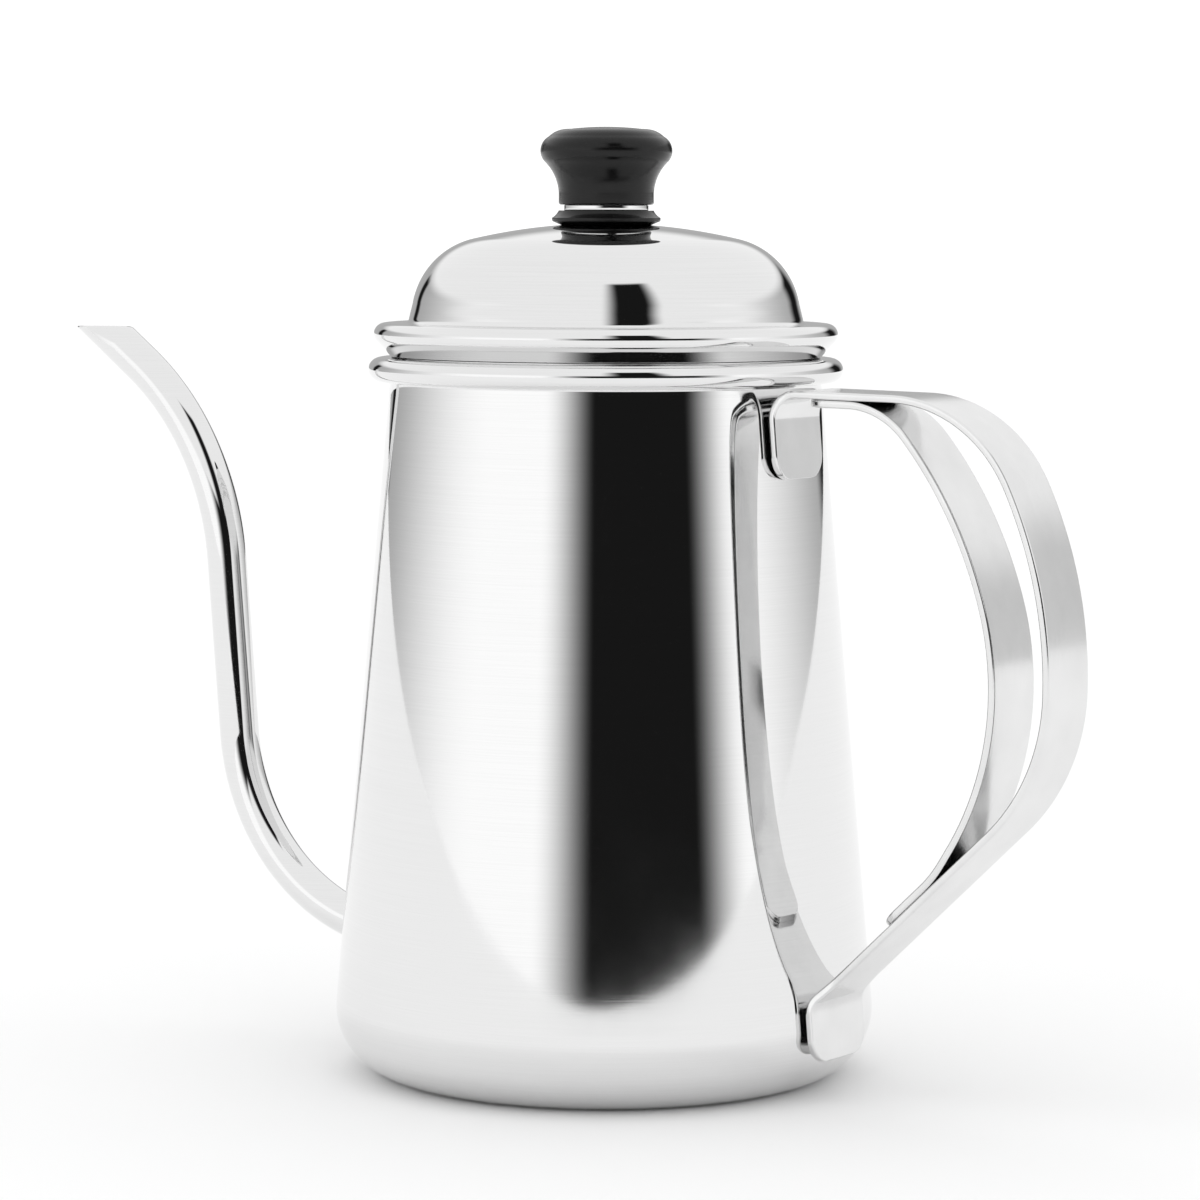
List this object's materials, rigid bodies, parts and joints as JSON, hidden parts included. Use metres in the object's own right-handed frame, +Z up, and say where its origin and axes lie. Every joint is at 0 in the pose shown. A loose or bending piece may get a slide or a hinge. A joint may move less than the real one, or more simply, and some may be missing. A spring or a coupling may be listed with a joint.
{
  "type": "gooseneck kettle",
  "caption": "Tapered stainless pour-over kettle with a thin gooseneck spout, double strap handle and lift-off domed lid with a black turned knob.",
  "frame": {"origin": "on the vessel's axis, at the plane it rests on", "axes": "+Z up along the vessel's axis, +X towards the handle, -X towards the spout, XZ the plane of symmetry"},
  "size_m": [0.2344, 0.104, 0.1821],
  "materials": {
    "polished_steel": "mirror-polished stainless steel",
    "satin_steel": "fine brushed stainless strip",
    "base_steel": "circular brushed underside",
    "black_phenolic": "semi-gloss black moulded phenolic",
    "brass": "turned brass",
    "zinc_steel": "zinc-plated steel"
  },
  "bodies": {
    "kettle": {"body_shell": "polished_steel", "base_pan": "base_steel", "spout_tube": "polished_steel", "handle_outer_strap": "satin_steel", "handle_inner_strap": "satin_steel"},
    "lid": {"lid_shell": "polished_steel", "lid_skirt": "polished_steel", "knob_base": "black_phenolic", "knob_collar": "polished_steel", "knob": "black_phenolic", "knob_insert": "brass", "knob_washer": "zinc_steel", "knob_screw": "zinc_steel"}
  },
  "joints": [
    {"name": "lid_lift", "type": "slide", "parent": "kettle", "child": "lid", "axis": [0, 0, 1], "range_m": [0, 0.12]}
  ]
}
